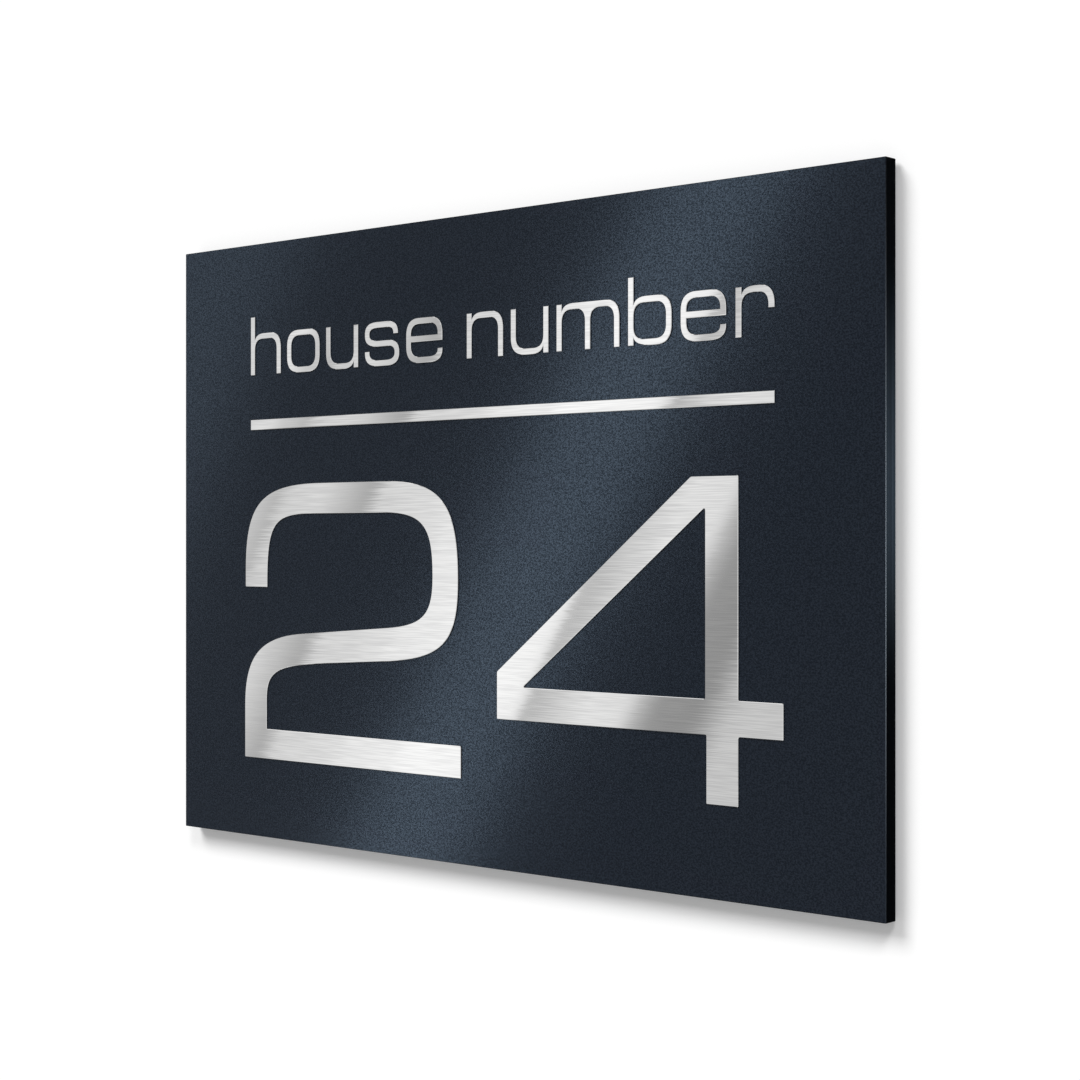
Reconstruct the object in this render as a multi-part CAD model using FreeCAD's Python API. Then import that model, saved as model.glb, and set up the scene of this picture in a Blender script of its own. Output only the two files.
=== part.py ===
import FreeCAD, Part
import os

# House number plaque: an anthracite plate with thin brushed steel numerals, a rule and a line of
# lettering bonded to its face, and strips of foam mounting tape on its back.
# Millimetres. X runs to the right across the plate, Y into the wall and Z up.
# The origin is the centre of the plaque on the wall face, where the tape meets the wall.

# Plate
plate_width = 300.0
plate_height = 210.0
plate_thickness = 5.0
edge_break = 0.15

# Foam mounting tape on the back
tape_width = 19.0
tape_length = 170.0
tape_thickness = 1.1
tape_edge_margin = 18.0

# The lettering, the rule and the numerals stand under each other as one block, near the middle
block_lift = 0.95
gap_over_rule = 15.85
gap_under_rule = 20.35

# Sheet that the numerals, the letters and the rule are cut from
sheet_thickness = 0.5
sheet_edge_break = 0.15

# Numerals
numeral_height = 96.0
numeral_stem = 11.5
numeral_bar = 10.55
numeral_gap = 15.9
numeral_corner_reach = 0.4

# The two: a round top, a waist that rises to the right and a flat foot
two_width = 106.1
two_overshoot = 1.0
two_side_inset = 1.3
two_end_inset = 0.3
two_end_drop = 36.4
two_waist_under = 32.2
two_waist_under_rise = 6.6
two_waist_top = 42.5
two_waist_top_rise = 8.0

# Bends of the two, each as reach before its corner, reach after it, and squareness
two_top_left_outside = (30.2, 38.6, 0.78)
two_top_right_outside = (35.7, 32.6, 0.78)
two_waist_right_outside = (25.3, 35.5, 0.81)
two_waist_left_inside = (28.9, 12.1, 0.83)
two_waist_left_outside = (23.9, 30.5, 0.73)
two_waist_right_inside = (21.7, 15.6, 0.80)
two_top_right_inside = (20.8, 24.9, 0.81)
two_top_left_inside = (23.2, 27.7, 0.87)

# The four: an upright stem, a cross bar and a diagonal around an open triangle
four_width = 110.5
four_stem_right = 94.7
four_apex_width = 17.2
four_bar_height = 20.2
four_left_height = 15.2
four_diagonal_width = 16.8
four_counter_inset = 0.45
four_counter_reach = 1.2

# Rule, as long as the lettering over it
rule_height = 3.6

# Lettering
letter_height = 14.5
letter_ascender = 20.6
letter_overshoot = 0.2
letter_stem = 2.1
letter_bar = 2.0
letter_notch = 2.3
letter_gap = 3.39
word_space = 11.0
letter_outer_reach = 5.8
letter_inner_reach = 4.0
letter_squareness = 0.68

# Widths of the letters
narrow_width = 15.8
round_width = 16.6
open_width = 16.3
wide_width = 25.2
arm_width = 13.7

# Middle bars of the letters, as a lift above half height, and the mouths beside the bars
e_bar_lift = 0.55
e_mouth = 2.5
s_bar_lift = 0.1
s_low_mouth = 1.45
s_high_mouth = 2.0
s_end_inset = 0.6
r_arm_drop = 6.8

# Planes that the pieces share, from the wall outwards
plate_back = -tape_thickness
plate_front = plate_back - plate_thickness

# Heights that the pieces share, from the foot of the numerals upwards
block_under_rule = numeral_height + gap_under_rule
block_over_rule = gap_over_rule + letter_ascender
numeral_base = block_lift - (block_under_rule + rule_height + block_over_rule) / 2
rule_base = numeral_base + block_under_rule
letter_base = rule_base + rule_height + gap_over_rule

# Squareness of a bend that runs close to a circular arc
roundness = 0.55

# Shortest straight stretch left between two bends
shortest_straight = 0.4


def point(x, z):
    return FreeCAD.Vector(x, 0, z)


def corner(x, z, before=0.0, after=0.0, squareness=0.0):
    """A corner of an outline: sharp, or bent over a reach along the run before and after it."""
    return {"at": point(x, z), "before": before, "after": after, "squareness": squareness}


def fit_reaches(corners):
    """Shortens the bends at the two ends of a run that is too short for both."""
    for index, here in enumerate(corners):
        following = corners[(index + 1) % len(corners)]
        room = (following["at"] - here["at"]).Length - shortest_straight
        wanted = here["after"] + following["before"]
        if wanted > room:
            here["after"] *= room / wanted
            following["before"] *= room / wanted


def outline(corners):
    """A closed wire through the corners, with straight runs and smooth square-shouldered bends."""
    fit_reaches(corners)
    bends = []
    for index, here in enumerate(corners):
        back = corners[index - 1]["at"] - here["at"]
        ahead = corners[(index + 1) % len(corners)]["at"] - here["at"]
        start = here["at"] + back.normalize() * here["before"]
        end = here["at"] + ahead.normalize() * here["after"]
        bends.append((start, end, here))
    edges = []
    for index, (start, end, here) in enumerate(bends):
        if here["squareness"] > 0:
            curve = Part.BezierCurve()
            first_pull = start + (here["at"] - start) * here["squareness"]
            second_pull = end + (here["at"] - end) * here["squareness"]
            curve.setPoles([start, first_pull, second_pull, end])
            edges.append(curve.toShape())
        next_start = bends[(index + 1) % len(bends)][0]
        edges.append(Part.makeLine(end, next_start))
    return Part.Wire(edges)


def lies_in_front(face):
    return -face.CenterOfMass.y


def cut_from_sheet(corners, holes=()):
    """A flat piece of the sheet with the given outline and holes, its back in the plane y = 0."""
    depth = FreeCAD.Vector(0, -sheet_thickness, 0)
    piece = Part.Face(outline(corners)).extrude(depth)
    for hole in holes:
        piece = piece.cut(Part.Face(outline(hole)).extrude(depth))
    front = max(piece.Faces, key=lies_in_front)
    return piece.makeChamfer(sheet_edge_break, front.Edges).Solids[0]


def place_on_plate(piece, left, base):
    """The piece moved onto the plate's face, with its left side and its base line in place."""
    piece.translate(FreeCAD.Vector(left, plate_front, base))
    return piece


def make_plate():
    corner_point = FreeCAD.Vector(-plate_width / 2, plate_front, -plate_height / 2)
    plate = Part.makeBox(plate_width, plate_thickness, plate_height, corner_point)
    return plate.makeChamfer(edge_break, plate.Edges)


def make_tape(centre_x):
    low = FreeCAD.Vector(centre_x - tape_width / 2, plate_back, -tape_length / 2)
    return Part.makeBox(tape_width, tape_thickness, tape_length, low)


# The tight corners of the numerals
crisp = (numeral_corner_reach, numeral_corner_reach, roundness)


def make_numeral_two():
    right = two_width - two_side_inset
    inside_left = two_end_inset + numeral_stem
    inside_right = right - numeral_stem
    top = numeral_height + two_overshoot
    under_top = top - numeral_bar
    end_height = top - two_end_drop

    def under_waist(x):
        return two_waist_under + two_waist_under_rise * x / two_width

    def over_waist(x):
        return two_waist_top + two_waist_top_rise * x / two_width

    return cut_from_sheet([
        corner(two_end_inset, end_height, *crisp),
        corner(two_end_inset, top, *two_top_left_outside),
        corner(right, top, *two_top_right_outside),
        corner(right, under_waist(right), *two_waist_right_outside),
        corner(numeral_stem, under_waist(numeral_stem), *two_waist_left_inside),
        corner(numeral_stem, numeral_bar, *crisp),
        corner(two_width, numeral_bar, *crisp),
        corner(two_width, 0, *crisp),
        corner(0, 0, *crisp),
        corner(0, over_waist(0), *two_waist_left_outside),
        corner(inside_right, over_waist(inside_right), *two_waist_right_inside),
        corner(inside_right, under_top, *two_top_right_inside),
        corner(inside_left, under_top, *two_top_left_inside),
        corner(inside_left, end_height, *crisp),
    ])


def make_numeral_four():
    stem_left = four_stem_right - numeral_stem
    apex_left = four_stem_right - four_apex_width
    bar_top = four_bar_height + numeral_bar
    left_top = four_bar_height + four_left_height
    slope = (numeral_height - left_top) / apex_left

    def inner_diagonal(z):
        return (z - left_top) / slope + four_diagonal_width

    counter_right = stem_left - four_counter_inset
    counter_top = left_top + (counter_right - four_diagonal_width) * slope
    narrow = (four_counter_reach, four_counter_reach, roundness)
    body = [
        corner(0, four_bar_height, *crisp),
        corner(0, left_top, *crisp),
        corner(apex_left, numeral_height, *crisp),
        corner(four_stem_right, numeral_height, *crisp),
        corner(four_stem_right, bar_top, *crisp),
        corner(four_width, bar_top, *crisp),
        corner(four_width, four_bar_height, *crisp),
        corner(four_stem_right, four_bar_height, *crisp),
        corner(four_stem_right, 0, *crisp),
        corner(stem_left, 0, *crisp),
        corner(stem_left, four_bar_height, *crisp),
    ]
    counter = [
        corner(inner_diagonal(bar_top), bar_top, *narrow),
        corner(counter_right, counter_top, *narrow),
        corner(counter_right, bar_top, *crisp),
    ]
    return cut_from_sheet(body, [counter])


def make_rule(length):
    return cut_from_sheet([
        corner(0, 0),
        corner(0, rule_height),
        corner(length, rule_height),
        corner(length, 0),
    ])


# Bends of the letters, and the lines that their round strokes reach to
outside = (letter_outer_reach, letter_outer_reach, letter_squareness)
inside = (letter_inner_reach, letter_inner_reach, letter_squareness)
round_top = letter_height + letter_overshoot
round_low = -letter_overshoot
under_top = round_top - letter_bar
over_low = round_low + letter_bar
shoulder = (letter_outer_reach, letter_outer_reach - letter_bar, letter_squareness)
centred_bar = (letter_height - letter_bar) / 2


def arch_letter(stem_height):
    """The outline of an upright stem with an arch that springs from it, as in n and h."""
    right = narrow_width
    return [
        corner(0, 0),
        corner(0, stem_height),
        corner(letter_stem, stem_height),
        corner(letter_stem, letter_height - letter_notch),
        corner(letter_stem + letter_notch / 2, round_top, *shoulder),
        corner(right, round_top, *outside),
        corner(right, 0),
        corner(right - letter_stem, 0),
        corner(right - letter_stem, under_top, *inside),
        corner(letter_stem, under_top, *inside),
        corner(letter_stem, 0),
    ]


def make_n():
    return cut_from_sheet(arch_letter(letter_height))


def make_h():
    return cut_from_sheet(arch_letter(letter_ascender))


def make_u():
    """An n turned half way round, and set back on the base line."""
    piece = make_n()
    piece.rotate(FreeCAD.Vector(0, 0, 0), FreeCAD.Vector(0, 1, 0), 180)
    piece.translate(FreeCAD.Vector(narrow_width, 0, letter_height))
    return piece


def make_m():
    right = wide_width
    middle_left = (right - letter_stem) / 2
    middle_right = middle_left + letter_stem
    return cut_from_sheet([
        corner(0, 0),
        corner(0, letter_height),
        corner(letter_stem, letter_height),
        corner(letter_stem, letter_height - letter_notch),
        corner(letter_stem + letter_notch / 2, round_top, *shoulder),
        corner(right, round_top, *outside),
        corner(right, 0),
        corner(right - letter_stem, 0),
        corner(right - letter_stem, under_top, *inside),
        corner(middle_right, under_top, *inside),
        corner(middle_right, 0),
        corner(middle_left, 0),
        corner(middle_left, under_top, *inside),
        corner(letter_stem, under_top, *inside),
        corner(letter_stem, 0),
    ])


def ring_counter(right):
    return [
        corner(letter_stem, over_low, *inside),
        corner(letter_stem, under_top, *inside),
        corner(right - letter_stem, under_top, *inside),
        corner(right - letter_stem, over_low, *inside),
    ]


def make_o():
    right = round_width
    ring = [
        corner(0, round_low, *outside),
        corner(0, round_top, *outside),
        corner(right, round_top, *outside),
        corner(right, round_low, *outside),
    ]
    return cut_from_sheet(ring, [ring_counter(right)])


def make_b():
    right = round_width
    body = [
        corner(0, 0),
        corner(0, letter_ascender),
        corner(letter_stem, letter_ascender),
        corner(letter_stem, letter_height - letter_notch),
        corner(letter_stem + letter_notch / 2, round_top, *shoulder),
        corner(right, round_top, *outside),
        corner(right, round_low, *outside),
        corner(letter_stem + letter_notch / 2, round_low, *shoulder),
        corner(letter_stem, letter_notch),
        corner(letter_stem, 0),
    ]
    return cut_from_sheet(body, [ring_counter(right)])


def make_e():
    right = round_width
    bar_base = centred_bar + e_bar_lift
    bar_top = bar_base + letter_bar
    end_height = bar_base - e_mouth
    body = [
        corner(right, bar_base),
        corner(right, round_top, *outside),
        corner(0, round_top, *outside),
        corner(0, round_low, *outside),
        corner(right, round_low, *outside),
        corner(right, end_height),
        corner(right - letter_stem, end_height),
        corner(right - letter_stem, over_low, *inside),
        corner(letter_stem, over_low, *inside),
        corner(letter_stem, bar_base),
    ]
    counter = [
        corner(letter_stem, bar_top),
        corner(letter_stem, under_top, *inside),
        corner(right - letter_stem, under_top, *inside),
        corner(right - letter_stem, bar_top),
    ]
    return cut_from_sheet(body, [counter])


def make_s():
    right = open_width
    high_right = right - s_end_inset
    bar_base = centred_bar + s_bar_lift
    bar_top = bar_base + letter_bar
    low_end = bar_base - s_low_mouth
    high_end = bar_top + s_high_mouth
    return cut_from_sheet([
        corner(high_right - letter_stem, high_end),
        corner(high_right - letter_stem, under_top, *inside),
        corner(letter_stem, under_top, *inside),
        corner(letter_stem, bar_top, *inside),
        corner(right, bar_top, *outside),
        corner(right, round_low, *outside),
        corner(0, round_low, *outside),
        corner(0, low_end),
        corner(letter_stem, low_end),
        corner(letter_stem, over_low, *inside),
        corner(right - letter_stem, over_low, *inside),
        corner(right - letter_stem, bar_base, *inside),
        corner(0, bar_base, *outside),
        corner(0, round_top, *outside),
        corner(high_right, round_top, *outside),
        corner(high_right, high_end),
    ])


def make_r():
    right = arm_width
    end_height = round_top - r_arm_drop
    return cut_from_sheet([
        corner(0, 0),
        corner(0, letter_height),
        corner(letter_stem, letter_height),
        corner(letter_stem, letter_height - letter_notch),
        corner(letter_stem + letter_notch / 2, round_top, *shoulder),
        corner(right, round_top, *outside),
        corner(right, end_height),
        corner(right - letter_stem, end_height),
        corner(right - letter_stem, under_top, *inside),
        corner(letter_stem, under_top, *inside),
        corner(letter_stem, 0),
    ])


# The lettering, word by word: the node, the function that makes it, and its width
first_word = [
    ("letter_h", make_h, narrow_width),
    ("letter_o", make_o, round_width),
    ("letter_u_1", make_u, narrow_width),
    ("letter_s", make_s, open_width),
    ("letter_e_1", make_e, round_width),
]
second_word = [
    ("letter_n", make_n, narrow_width),
    ("letter_u_2", make_u, narrow_width),
    ("letter_m", make_m, wide_width),
    ("letter_b", make_b, round_width),
    ("letter_e_2", make_e, round_width),
    ("letter_r", make_r, arm_width),
]


def word_length(word):
    return sum(width for _, _, width in word) + letter_gap * (len(word) - 1)


def place_word(word, left):
    """The letters of a word, evenly spaced from its left end."""
    letters = {}
    for node, make, width in word:
        letters[node] = place_on_plate(make(), left, letter_base)
        left += width + letter_gap
    return letters


def place_lettering():
    """The two words and the rule under them, centred on the plate."""
    line_length = word_length(first_word) + word_space + word_length(second_word)
    left = -line_length / 2
    pieces = {"rule": place_on_plate(make_rule(line_length), left, rule_base)}
    pieces.update(place_word(first_word, left))
    pieces.update(place_word(second_word, -left - word_length(second_word)))
    return pieces


def place_numerals():
    """The two numerals side by side, centred on the plate."""
    left = -(two_width + numeral_gap + four_width) / 2
    four_left = left + two_width + numeral_gap
    return {
        "numeral_2": place_on_plate(make_numeral_two(), left, numeral_base),
        "numeral_4": place_on_plate(make_numeral_four(), four_left, numeral_base),
    }


def place_tapes():
    """A strip of tape down the middle of the back, and one near each side edge."""
    offset = plate_width / 2 - tape_edge_margin - tape_width / 2
    return {
        "tape_left": make_tape(-offset),
        "tape_centre": make_tape(0),
        "tape_right": make_tape(offset),
    }


shapes = {"plate": make_plate()}
shapes.update(place_tapes())
shapes.update(place_numerals())
shapes.update(place_lettering())

os.makedirs("parts", exist_ok=True)
for node, shape in shapes.items():
    shape.exportStep(f"parts/{node}.step")
    print(node, round(shape.Volume, 2), "valid" if shape.isValid() else "not valid")
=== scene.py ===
# %% [markdown]
# A house number plaque: an anthracite plate with brushed steel numerals, a rule and a line of
# lettering bonded to its face, hung on a wall by strips of foam tape. The shapes of the rigid
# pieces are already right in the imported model, so this lesson is about their finishes: a coat with
# a fine grain, brushed steel, and soft foam. Every finish is worked out from the place on the
# piece, with no pictures, so it stays sharp close up. Lengths are in metres: x runs to the right
# across the plaque, y into the wall and z up, and the origin is on the wall, behind the middle.

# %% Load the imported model
import math

import bmesh
import bpy
from mathutils import Matrix, Vector


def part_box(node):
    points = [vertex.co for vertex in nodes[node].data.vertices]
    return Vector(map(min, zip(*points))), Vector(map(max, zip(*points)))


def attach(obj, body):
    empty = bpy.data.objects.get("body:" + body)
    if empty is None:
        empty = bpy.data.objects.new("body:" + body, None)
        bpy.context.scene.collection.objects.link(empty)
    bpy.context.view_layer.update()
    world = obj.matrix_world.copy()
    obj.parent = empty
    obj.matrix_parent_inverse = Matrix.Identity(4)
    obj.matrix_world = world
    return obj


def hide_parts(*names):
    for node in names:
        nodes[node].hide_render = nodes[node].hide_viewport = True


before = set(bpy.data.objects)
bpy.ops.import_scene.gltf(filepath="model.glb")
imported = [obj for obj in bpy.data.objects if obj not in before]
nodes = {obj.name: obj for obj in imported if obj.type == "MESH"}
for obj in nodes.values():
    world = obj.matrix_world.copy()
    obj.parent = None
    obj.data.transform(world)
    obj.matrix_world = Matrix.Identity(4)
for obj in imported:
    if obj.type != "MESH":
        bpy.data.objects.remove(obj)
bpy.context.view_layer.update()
millimetre = 0.001
plate_low, plate_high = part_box("plate")
plate_width = plate_high.x - plate_low.x
plate_height = plate_high.z - plate_low.z
print("pieces", len(nodes), "plate", round(plate_width, 4), "by", round(plate_height, 4), "m")

# %% [markdown]
# The camera stands to the right of the plaque, level with its middle, and looks at it from the
# side. The slant of the plate's top and bottom edges gives the angle: they close in on each other
# towards the left by about a quarter. A short lens close by draws more slant than a long lens far
# away, so the angle and the distance are set together, and the lens then sets only the size.

# %% Camera
camera_azimuth = math.radians(41.46)
camera_place = Vector((462.1, -502.3, 0.0)) * millimetre
lens_focal = 70.5
lens_film = 36
nearest_seen = 0.01
bpy.ops.object.camera_add(
    location=camera_place, rotation=(math.radians(90), 0, camera_azimuth))
camera = bpy.context.object
camera.name = "camera"
camera.data.lens = lens_focal
camera.data.sensor_width = lens_film
camera.data.clip_start = nearest_seen
bpy.context.scene.camera = camera
bpy.context.scene.view_settings.view_transform = "Standard"
print("camera", round(camera_place.length, 3), "m from the plaque")

# %% [markdown]
# A finish is a tree of small nodes, and most of them are sums: a grain is some noise times a
# height, and a mask is one minus another. Wiring each sum by hand hides what it says. The class
# below wraps the output of a node, so that plain arithmetic on it adds the Math nodes, and one
# method adds any other node: its kind, then its settings, then what goes into its sockets.

# %% A way to write node trees as sums


class Value:
    """The output of a node. Arithmetic on it adds the Math nodes that work the result out."""

    def __init__(self, tree, socket):
        self.tree = tree
        self.socket = socket

    def __add__(self, other):
        return self.tree.math("ADD", self, other)

    def __sub__(self, other):
        return self.tree.math("SUBTRACT", self, other)

    def __rsub__(self, other):
        return self.tree.math("SUBTRACT", other, self)

    def __mul__(self, other):
        return self.tree.math("MULTIPLY", self, other)

    def __truediv__(self, other):
        return self.tree.math("DIVIDE", self, other)

    __radd__ = __add__
    __rmul__ = __mul__


class Tree:
    """The node tree of a material, a lamp or the world."""

    def __init__(self, owner):
        owner.use_nodes = True
        self.nodes = owner.node_tree.nodes
        self.links = owner.node_tree.links
        self.nodes.clear()

    def node(self, kind, settings, inputs):
        """Adds a node, sets its settings and then fills its sockets with values or links."""
        node = self.nodes.new(kind)
        for name, value in settings.items():
            if name == "stops":
                self.set_stops(node.color_ramp, value)
            else:
                setattr(node, name, value)
        for name, value in inputs.items():
            if isinstance(value, Value):
                self.links.new(value.socket, node.inputs[name])
            else:
                node.inputs[name].default_value = value
        return node

    def set_stops(self, ramp, stops):
        """Sets a ramp's stops. A new ramp has two, and the others are added."""
        for index, (place, grey) in enumerate(stops):
            stop = ramp.elements[index] if index < 2 else ramp.elements.new(place)
            stop.position = place
            stop.color = (grey, grey, grey, 1)

    def value(self, kind, settings, inputs, output=0):
        """Adds a node and returns one of its outputs."""
        return Value(self, self.node(kind, settings, inputs).outputs[output])

    def math(self, operation, *terms):
        return self.value("ShaderNodeMath", {"operation": operation}, dict(enumerate(terms)))

    def blend(self, share, first, second):
        """A colour between the first one and the second one."""
        inputs = {0: share, 6: first, 7: second}
        return self.value("ShaderNodeMix", {"data_type": "RGBA"}, inputs, 2)

    def noise(self, place, scale, detail=2.0, roughness=0.5):
        inputs = {"Vector": place, "Scale": scale, "Detail": detail, "Roughness": roughness}
        return self.value("ShaderNodeTexNoise", {}, inputs)

    def cells(self, place, size):
        """The distance from the middle of the nearest cell, for cells about as wide as size."""
        return self.value("ShaderNodeTexVoronoi", {}, {"Vector": place, "Scale": 1 / size})

    def bump(self, distance, height):
        inputs = {"Strength": 1.0, "Distance": distance, "Height": height}
        return self.value("ShaderNodeBump", {}, inputs)

    def span(self, amount, low, high, to_low=0.0, to_high=1.0):
        """A value carried over from one span to another, smoothly, and held at the ends."""
        names = ("Value", "From Min", "From Max", "To Min", "To Max")
        inputs = dict(zip(names, (amount, low, high, to_low, to_high)))
        return self.value("ShaderNodeMapRange", {"interpolation_type": "SMOOTHSTEP"}, inputs)


def new_material(name):
    material = bpy.data.materials.new(name)
    return material, Tree(material)


def on_piece(tree, scale=(1, 1, 1)):
    """The place on a piece, in metres, stretched along each axis by the given factors."""
    place = tree.value("ShaderNodeTexCoord", {}, {}, "Object")
    return tree.value("ShaderNodeMapping", {}, {"Vector": place, "Scale": scale})


def squareness_to_wall(tree):
    """From 0 on a face that is edge-on to the wall to 1 on one that lies along it."""
    facing = tree.value("ShaderNodeTexCoord", {}, {}, "Normal")
    return tree.math("ABSOLUTE", tree.value("ShaderNodeSeparateXYZ", {}, {0: facing}, "Y"))


print("node helpers ready")

# %% [markdown]
# The plaque hangs on a white wall, and its shadow on the wall tells how close it hangs. The wall is
# only seen from the front: from behind it is left clear, so that the back of the plaque can be
# looked at too. It glows faintly, as a white room's own light does, so that the shadow stays grey.
# The floor is made of the same stuff, and neither throws light onto the plaque.

# %% Wall and floor
floor_drop = 0.45
stage_size = 8.0
wall_clearance = 0.2 * millimetre
stage_white = 0.92
stage_glow = 0.148


def stage_material(name, one_sided):
    material, tree = new_material(name)
    white = (stage_white, stage_white, stage_white, 1)
    paper = tree.value("ShaderNodeBsdfDiffuse", {}, {"Color": white})
    glow = tree.value("ShaderNodeEmission", {}, {"Strength": stage_glow})
    paper = tree.value("ShaderNodeAddShader", {}, {0: paper, 1: glow})
    if one_sided:
        behind = tree.value("ShaderNodeNewGeometry", {}, {}, "Backfacing")
        clear = tree.value("ShaderNodeBsdfTransparent", {}, {})
        paper = tree.value("ShaderNodeMixShader", {}, {0: behind, 1: paper, 2: clear})
    tree.node("ShaderNodeOutputMaterial", {}, {"Surface": paper})
    return material


def add_stage(name, place, turn, one_sided):
    """A wide plane that only the camera sees: it keeps no light off the plaque and throws none."""
    bpy.ops.mesh.primitive_plane_add(size=stage_size, location=place, rotation=turn)
    stage = bpy.context.object
    stage.name = name
    stage.visible_glossy = False
    stage.visible_diffuse = False
    stage.visible_shadow = False
    stage.data.materials.append(stage_material(name, one_sided))


wall_middle = stage_size / 2 - floor_drop
add_stage("wall", (0, wall_clearance, wall_middle), (math.radians(90), 0, 0), True)
add_stage("floor", (0, 0, -floor_drop), (0, 0, 0), False)
print("wall", wall_clearance * 1000, "mm behind the tape, floor", floor_drop, "m below the middle")

# %% [markdown]
# Two broad soft lamps light the front from above: one at the left, and one further up at the right.
# Their directions and breadths are read from the shadow: it reaches a few millimetres to the right
# and a little more downwards, starts a little below the top corner, is soft all the way, and hardly
# thins out towards its left end, which one lamp alone can't do. A third lamp lights the back. Only
# matt surfaces take their light: the gloss has lamps of its own further down.

# %% Key, top and back lamps
sun_lamps = {
    "key_light": (Vector((-0.56, -1.0, 1.06)), math.radians(29.5), 2.34),
    "top_light": (Vector((0.83, -1.0, 1.42)), math.radians(16.3), 0.956),
    "back_light": (Vector((-0.5, 1.0, 0.7)), math.radians(46.5), 3.6),
}


def add_sun(name, towards, breadth, strength):
    turn = towards.to_track_quat("Z", "Y").to_euler()
    bpy.ops.object.light_add(type="SUN", rotation=turn)
    sun = bpy.context.object
    sun.name = name
    sun.data.angle = breadth
    sun.data.energy = strength
    sun.visible_glossy = False


for name, (towards, breadth, strength) in sun_lamps.items():
    add_sun(name, towards, breadth, strength)

# %% [markdown]
# Brushed steel has hardly a colour of its own: what is seen in it is the studio, drawn out by the
# brushing. Here the studio is a ring of tall leaning light panels with dark gaps between them, so
# that soft grey bands lie slanting across the steel. The world carries them, as brightness along
# a tilted ring of longitudes, and one group of panels is repeated all the way round. Only gloss
# sees the panels: matt surfaces get an even light, and the camera sees white. Behind the plaque the
# ring is lit on one side only, for the back, so that the side next to the camera stays dark.

# %% The panels of the studio
panel_lean = 0.62
panel_group = 48.0
panel_start = -62.0
panel_edges = [
    (-62.0, 0.80), (-45.9, 0.84), (-45.5, 0.94), (-45.3, 0.92),
    (-45.0, 0.70), (-44.7, 0.70), (-44.45, 0.58), (-44.3, 0.58),
    (-44.15, 0.78), (-43.2, 0.85), (-42.0, 0.50), (-41.85, 0.52),
    (-41.6, 0.81), (-39.8, 0.92), (-39.55, 1.00), (-38.1, 1.07),
    (-37.95, 1.18), (-36.5, 1.16), (-35.4, 1.09),
    (-35.25, 0.60), (-34.9, 0.65), (-33.5, 0.94), (-32.5, 0.90),
    (-32.2, 0.60), (-31.7, 0.37), (-30.6, 0.345), (-29.6, 0.70), (-24.0, 0.72), (-14.0, 0.80),
]

world = bpy.data.worlds.new("studio")
bpy.context.scene.world = world
studio = Tree(world)
direction = studio.value("ShaderNodeTexCoord", {}, {}, "Generated")


def along(axis):
    """How far a direction points along an axis."""
    inputs = {0: direction, 1: Vector(axis).normalized()}
    return studio.value("ShaderNodeVectorMath", {"operation": "DOT_PRODUCT"}, inputs, "Value")


longitude = studio.math("ARCTAN2", along((1, 0, -panel_lean)), along((0, -1, 0)))
turns = (longitude * math.degrees(1) - panel_start) / panel_group
ring = studio.math("FRACT", turns)
stops = [((angle - panel_start) / panel_group, grey) for angle, grey in panel_edges]
panels = studio.value("ShaderNodeValToRGB", {"stops": stops}, {"Fac": ring})
print("studio panels in each group", len(panel_edges), "groups", 360 / panel_group)

# %% The light in front of the plaque and behind it
front_fill = 0.33
front_fade = 0.1
back_lit_side = (-1, 1, 0.3)
back_fade = (0.3, 0.7)
in_front = studio.span(along((0, 1, 0)), front_fade, -front_fade)
behind = studio.span(along(back_lit_side), *back_fade) * panels
path = studio.node("ShaderNodeLightPath", {}, {})
glossy = Value(studio, path.outputs["Is Glossy Ray"])
to_camera = Value(studio, path.outputs["Is Camera Ray"])
lit = front_fill + glossy * (panels - front_fill)
level = behind + in_front * (lit - behind)
level = level + to_camera * (1 - level)
background = studio.value("ShaderNodeBackground", {}, {"Color": level})
studio.node("ShaderNodeOutputWorld", {}, {"Surface": background})
world.cycles.sampling_method = "NONE"
print("even light on matt surfaces", front_fill)

# %% [markdown]
# The plate's coat is darker than the steel by far, and shows only the strongest of the panels, as
# broad soft bands of sheen. A strip lamp stands for each of them. It leans as the panels do, and
# lights only the gloss of the plate: on the steel it would burn out the brushing. Each strip is
# placed where the camera, mirrored in the plate's face, would see it. Two small lamps do the same
# for the middle of the right side and for the narrow bevel in front of it, and fade at their ends.

# %% Strip lamps for the sheen on the plate
strips = [
    (-48.4, 0.13, 7.4), (-36.6, 0.11, 16.4),
    (-4.0, 0.10, 11.0), (12.0, 0.13, 11.0), (40.0, 0.10, 11.0),
]
strip_distance = 1.3
strip_length = 3.6
sheen_blue = (0.54, 0.75, 1.0)
mirrored_eye = Vector((camera_place.x, 2 * plate_low.y - camera_place.y, 0))
lean = Vector((panel_lean, 0, 1)).normalized()
across = Vector((1, 0, -panel_lean)).normalized()

plate_only = bpy.data.collections.new("plate_only")
plate_only.objects.link(nodes["plate"])


def add_gloss_lamp(name, place, outwards, upwards, size, power, colour):
    """A flat lamp that shines back against the direction outwards, on the plate's gloss alone."""
    turn = Matrix((upwards.cross(outwards), upwards, outwards)).transposed()
    bpy.ops.object.light_add(type="AREA", location=place, rotation=turn.to_euler())
    lamp = bpy.context.object
    lamp.name = name
    lamp.data.shape = "RECTANGLE"
    lamp.data.size, lamp.data.size_y = size
    lamp.data.energy = power
    lamp.data.color = colour
    lamp.visible_camera = False
    lamp.visible_diffuse = False
    lamp.light_linking.receiver_collection = plate_only
    return lamp


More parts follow.
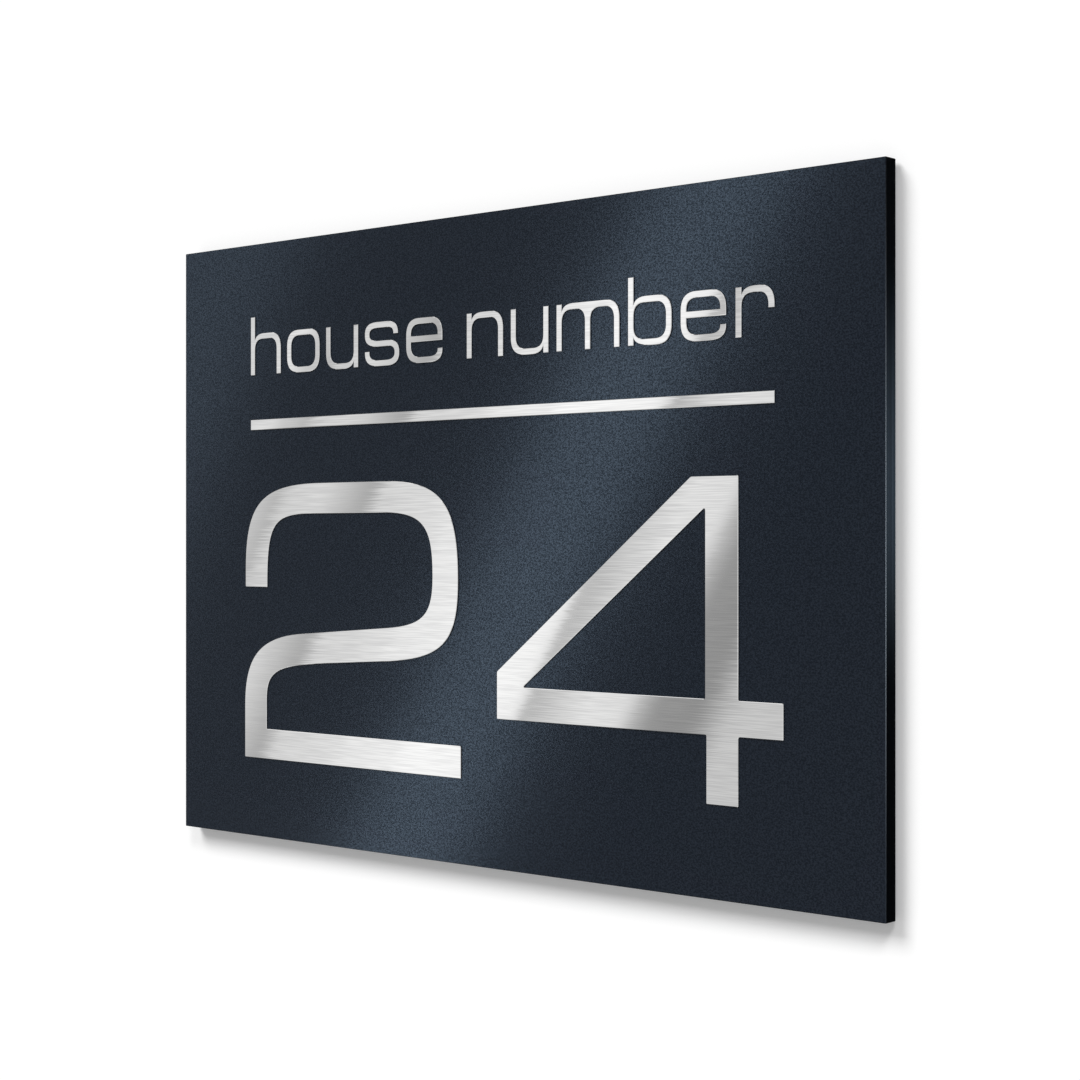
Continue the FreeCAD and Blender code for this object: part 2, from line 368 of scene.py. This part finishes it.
for strip_longitude, width, power in strips:
    angle = math.radians(strip_longitude)
    outwards = Vector((0, -1, 0)) * math.cos(angle) + across * math.sin(angle)
    to_plate = (mirrored_eye.y - plate_low.y) / math.cos(angle)
    place = mirrored_eye + outwards * (to_plate + strip_distance)
    size = (width, strip_length)
    add_gloss_lamp("strip_lamp", place, outwards, lean, size, power, sheen_blue)
print("strip lamps", len(strips))

# %% Lamps for the right side and its bevel
cool_white = (0.76, 0.88, 1.0)
edge_lamps = {
    "side_lamp": (Vector((1, 0, 0)), 0.038, 0.44, (0.06, 0.24), 0.29, sheen_blue),
    "bevel_lamp": (Vector((1, -1, 0)), 0.004, 0.48, (0.10, 0.40), 7.4, cool_white),
}
edge_distance = 0.6
right_edge = Vector((plate_high.x, plate_low.y, 0))
sight = (right_edge - camera_place).normalized()


def fade_ends(lamp, brightest):
    """Makes a lamp fade towards both ends from its brightest height, given from 0 to 1."""
    tree = Tree(lamp.data)
    height = tree.value("ShaderNodeNewGeometry", {}, {}, "Parametric")
    height = tree.value("ShaderNodeSeparateXYZ", {}, {0: height}, "Y")
    bell = tree.span(height, 0, brightest) * tree.span(height, 1, brightest)
    light = tree.value("ShaderNodeEmission", {}, {"Color": bell})
    tree.node("ShaderNodeOutputLight", {}, {"Surface": light})


for name, (facing, height, brightest, size, power, colour) in edge_lamps.items():
    outwards = sight.reflect(facing.normalized())
    place = right_edge + outwards * edge_distance + Vector((0, 0, height))
    lamp = add_gloss_lamp(name, place, outwards, Vector((0, 0, 1)), size, power, colour)
    fade_ends(lamp, brightest)
print("edge lamps", list(edge_lamps))

# %% [markdown]
# The plate is metal under a powder coat: anthracite with a breath of blue, matt underneath with a
# satin skin, and covered with a fine grain like leather, less than a millimetre across. The grain
# could be modelled, but it is far smaller than any shape here, so it is a bump. Two noises make it:
# a coarse one for the dimples and a fine one for the roughness of the powder. The crests of the
# grain shine more than its dimples, and its colour carries painted shade: lighter on the crests and
# darker in the dimples, as light falls on the relief. The cut sides have no grain. Their colour is
# painted shade, almost black, since little light reaches them, and faint marks of the saw run along
# them in their gloss.

# %% Colours and sizes of the anthracite coat
# Painted shade: the coat colour is darker in the grain's dimples and lighter on its crests.
coat_shaded_dimples = (0.0065, 0.0090, 0.0138, 1)
coat_lit_crests = (0.0124, 0.0172, 0.0262, 1)
# The cut sides' colour is painted shade: almost black because little light reaches them.
cut_side_painted_shade = (0.0008, 0.0013, 0.0023, 1)
grain_size = 0.62 * millimetre
grain_height = 0.022 * millimetre
grain_flatness = 1.25
grain_flanks = (0.36, 0.64)
powder_size = 0.27 * millimetre
powder_height = 0.35
cut_mark_size = 0.7 * millimetre
cut_mark_length = 0.5
cut_mark_scale = (1 / cut_mark_length, 1 / cut_mark_size, 1 / cut_mark_length)
face_limits = (0.8, 0.95)
print("grain", round(grain_size * 1000, 2), "mm across and", grain_height * 1000, "mm deep")

# %% Gloss of the anthracite coat
dimple_gloss = 0.058
crest_gloss = 0.124
cut_gloss_least = 0.03
cut_gloss_more = 0.18
matt_roughness = 0.52
powder_roughness = 0.08
matt_specular = 0.02
satin_roughness = 0.13
print("gloss of the grain", dimple_gloss, "to", round(dimple_gloss + crest_gloss, 3))

# %% Anthracite coat
coat, tree = new_material("anthracite_coat")
place = on_piece(tree, (1, 1, grain_flatness))
dimples = tree.noise(place, 1 / grain_size, detail=2.0, roughness=0.6)
powder = tree.noise(place, 1 / powder_size, detail=1.0)
grain = tree.span(dimples, *grain_flanks)
on_face = tree.span(squareness_to_wall(tree), *face_limits)
cut_marks = tree.noise(on_piece(tree, cut_mark_scale), 1.0, detail=1.0)
cut_gloss = cut_gloss_least + cut_marks * cut_gloss_more
face_gloss = dimple_gloss + grain * crest_gloss
height = (grain + powder * powder_height) * on_face
# The base colour is painted shade: near black on the cut sides, darker in the dimples of the grain.
surface = tree.value("ShaderNodeBsdfPrincipled", {}, {
    "Base Color": tree.blend(on_face, cut_side_painted_shade, tree.blend(grain, coat_shaded_dimples, coat_lit_crests)),
    "Roughness": matt_roughness + powder * powder_roughness,
    "Specular IOR Level": matt_specular,
    "Coat Weight": cut_gloss + on_face * (face_gloss - cut_gloss),
    "Coat Roughness": satin_roughness,
    "Normal": tree.bump(grain_height, height),
})
tree.node("ShaderNodeOutputMaterial", {}, {"Surface": surface})
nodes["plate"].material_slots[0].material = coat
print("coated", nodes["plate"].name)

# %% [markdown]
# The numerals, the rule and the letters are cut from stainless sheet whose face was brushed
# lengthways. The brushing is a noise drawn out along x, in three layers: coarse streaks about three
# centimetres long, and hair-fine scratches among them. Each one tilts the surface up or down by
# less than half a degree, which is enough to break up the bands of light, and changes the roughness
# and a little of the colour.

# %% Brushed steel
steel_face = (0.835, 0.835, 0.83, 1)
steel_groove = (0.715, 0.715, 0.715, 1)
scratch_layers = [(30, 0.40), (14, 0.24), (8, 0.16)]
scratch_tilt = 0.010
groove_flank = 0.3
face_roughness = 0.02
groove_roughness = 0.015
brushed_stretch = 0.9
brushed_turn = 0.162
steel, tree = new_material("brushed_steel")


def scratches(length, pitch):
    """Noise drawn out along x, from -0.5 to 0.5, as long and as fine as the given millimetres."""
    scale = (1 / (length * millimetre), 1, 1 / (pitch * millimetre))
    return tree.noise(on_piece(tree, scale), 1.0, detail=0.0) - 0.5


layers = [scratches(length, pitch) for length, pitch in scratch_layers]
brushing = sum(layers[1:], layers[0])
normal = tree.value("ShaderNodeNewGeometry", {}, {}, "Normal")
leaning = tree.value("ShaderNodeCombineXYZ", {}, {"Z": brushing * scratch_tilt})
tilted = tree.value("ShaderNodeVectorMath", {"operation": "ADD"}, {0: normal, 1: leaning})
tilted = tree.value("ShaderNodeVectorMath", {"operation": "NORMALIZE"}, {0: tilted})
grooves = tree.span(brushing, -groove_flank, groove_flank)
surface = tree.value("ShaderNodeBsdfPrincipled", {}, {
    "Base Color": tree.blend(grooves, steel_face, steel_groove),
    "Metallic": 1.0,
    "Roughness": face_roughness + grooves * groove_roughness,
    "Anisotropic": brushed_stretch,
    "Anisotropic Rotation": brushed_turn,
    "Normal": tilted,
})
tree.node("ShaderNodeOutputMaterial", {}, {"Surface": surface})
steel_nodes = [node for name, node in nodes.items() if not name.startswith(("plate", "tape"))]
for node in steel_nodes:
    node.material_slots[0].material = steel
print("brushed pieces", len(steel_nodes))

# %% [markdown]
# Three strips of foam tape hold the plaque on the wall. Each is a soft bar a millimetre thick, cut
# off a roll with scissors and squeezed by the plate, so its sides swell out and its ends are a
# little out of square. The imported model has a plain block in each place. Here one strip is shaped
# from a box of the block's size, with extra rows of edges that give its sides something to bend
# at, and the other two are copies. A cloth simulation could swell the foam too, but over a
# millimetre of thickness it would only find the same curve again.

# %% Tools for picking edges and points
def pick(kind, wanted):
    """Picks the edges or the points of the piece in edit mode that are wanted."""
    bpy.ops.mesh.select_all(action="DESELECT")
    bpy.ops.mesh.select_mode(type="EDGE" if kind == "edges" else "VERT")
    shape = bmesh.from_edit_mesh(bpy.context.object.data)
    for part in getattr(shape, kind):
        if wanted(part):
            part.select_set(True)
    bmesh.update_edit_mesh(bpy.context.object.data)


def cut_along(axis, cuts):
    """Cuts every edge that runs along an axis into equal lengths."""
    def runs_along(edge):
        first, last = (corner.co for corner in edge.verts)
        return abs((last - first).normalized()[axis]) > 0.99

    pick("edges", runs_along)
    bpy.ops.mesh.subdivide(number_cuts=cuts)


def deselect_all():
    bpy.ops.object.select_all(action="DESELECT")


print("picking tools ready")

# %% One strip of foam tape
side_swell = 0.35 * millimetre
rows_long, rows_wide, rows_deep = 70, 8, 4
same_depth = 0.01 * millimetre

deselect_all()
tape_low, tape_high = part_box("tape_centre")
tape_middle = (tape_low + tape_high) / 2
tape_size = tape_high - tape_low
bpy.ops.mesh.primitive_cube_add(size=1, location=tape_middle, scale=tape_size)
bpy.ops.object.transform_apply(location=True, rotation=False, scale=True)
foam = bpy.context.object
bpy.ops.object.mode_set(mode="EDIT")
for axis, rows in ((2, rows_long), (0, rows_wide), (1, rows_deep)):
    cut_along(axis, rows - 1)
for row in range(rows_deep + 1):
    depth = tape_low.y + tape_size.y * row / rows_deep
    drawn_in = side_swell * (2 * row / rows_deep - 1) ** 2
    narrower = Vector((1 - 2 * drawn_in / tape_size.x, 1, 1 - 2 * drawn_in / tape_size.z))
    pick("verts", lambda point: abs(point.co.y - depth) < same_depth)
    bpy.ops.transform.resize(value=narrower, center_override=tape_middle)
print("foam strip", [round(length * 1000, 2) for length in tape_size], "mm")

# %% Its cut ends and its sides
cut_slant = math.radians(1.0)
other_end_share = 0.6
side_wobble = 0.04 * millimetre
side_reach = side_swell * 1.5
side_depth = tape_size.y * 0.45
smooth_angle = math.radians(35)
slant_reach = math.sin(cut_slant) * tape_size.x / 2
for end, slant in ((tape_high.z, cut_slant), (tape_low.z, -cut_slant * other_end_share)):
    inwards = -math.copysign(slant_reach, end)
    pick("verts", lambda point: abs(point.co.z - end) < side_reach)
    bpy.ops.transform.translate(value=(0, 0, inwards))
    middle_of_end = Vector((tape_middle.x, tape_middle.y, end + inwards))
    bpy.ops.transform.rotate(value=slant, orient_axis="Y", center_override=middle_of_end)
pick("verts", lambda point: abs(point.co.x - tape_middle.x) > tape_size.x / 2 - side_reach
     and abs(point.co.y - tape_middle.y) < side_depth)
bpy.ops.transform.vertex_random(offset=side_wobble, normal=0.0, uniform=1.0, seed=4)
bpy.ops.object.mode_set(mode="OBJECT")
bpy.ops.object.shade_smooth_by_angle(angle=smooth_angle)
print("points on the strip", len(foam.data.vertices))

# %% The strips in their places
foam_strips = []
for name in sorted(name for name in nodes if name.startswith("tape")):
    low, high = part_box(name)
    deselect_all()
    foam.select_set(True)
    bpy.context.view_layer.objects.active = foam
    bpy.ops.object.duplicate()
    strip = bpy.context.object
    bpy.ops.transform.translate(value=(low + high) / 2 - tape_middle)
    bpy.ops.object.transform_apply(location=True, rotation=False, scale=False)
    strip.name = name.replace("tape", "foam_strip")
    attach(strip, "root")
    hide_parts(name)
    foam_strips.append(strip)
deselect_all()
bpy.data.objects.remove(foam)
print("strips", [strip.name for strip in foam_strips])

# %% [markdown]
# Acrylic foam is a dark grey stuff full of closed cells. On the cut sides the cells are open, as
# fine pits. The two sticky faces are smooth and a little shiny, with a few burst bubbles, and where
# they have wetted out they are faintly darker. The pits and the burst bubbles are painted darker in
# their hollows, as painted shade. One material does both: the direction that a face looks in tells
# the bonded faces from the cut ones.

# %% Colours, sizes and gloss of the foam
# The darkest foam colour is painted shade, put in the hollows of the pits and of the burst bubbles.
foam_hollow_shade = (0.022, 0.022, 0.024, 1)
foam_light = (0.050, 0.050, 0.054, 1)
foam_wetted = (0.041, 0.041, 0.045, 1)
cell_size = 0.28 * millimetre
cell_depth = 0.09 * millimetre
cell_walls = (0.15, 0.6)
patch_size = 4 * millimetre
patch_edges = (0.35, 0.65)
bubble_spacing = 2.2 * millimetre
bubble_edges = (0.12, 0.17)
bubble_depth = 0.6
bonded_limits = (0.75, 0.95)
bonded_flattening = 0.85
cut_roughness = 0.9
bonded_smoothness = 0.30
wetted_smoothness = 0.12
foam_specular = 0.35
print("foam cells", cell_size * 1000, "mm across, bubbles", bubble_spacing * 1000, "mm apart")

# %% Foam
acrylic, tree = new_material("acrylic_foam")
place = on_piece(tree)
bonded = tree.span(squareness_to_wall(tree), *bonded_limits)
pits = tree.span(tree.cells(place, cell_size), *cell_walls)
patchy = tree.noise(place, 1 / patch_size, detail=3.0, roughness=0.6)
patches = tree.span(patchy, *patch_edges)
bubbles = tree.span(tree.cells(place, bubble_spacing), *bubble_edges, 1.0, 0.0)
# Painted shade: the pits and the burst bubbles are coloured darker in their hollows.
cut_colour = tree.blend(pits, foam_hollow_shade, foam_light)
bond_colour = tree.blend(patches, foam_light, foam_wetted)
bond_colour = tree.blend(bubbles, bond_colour, foam_hollow_shade)
height = pits * (1 - bonded * bonded_flattening) - bubbles * bonded * bubble_depth
smoothness = bonded * (bonded_smoothness + patches * wetted_smoothness)
surface = tree.value("ShaderNodeBsdfPrincipled", {}, {
    "Base Color": tree.blend(bonded, cut_colour, bond_colour),
    "Roughness": cut_roughness - smoothness,
    "Specular IOR Level": foam_specular,
    "Normal": tree.bump(cell_depth, height),
})
tree.node("ShaderNodeOutputMaterial", {}, {"Surface": surface})
for strip in foam_strips:
    strip.data.materials.clear()
    strip.data.materials.append(acrylic)
print("foam on", len(foam_strips), "strips")
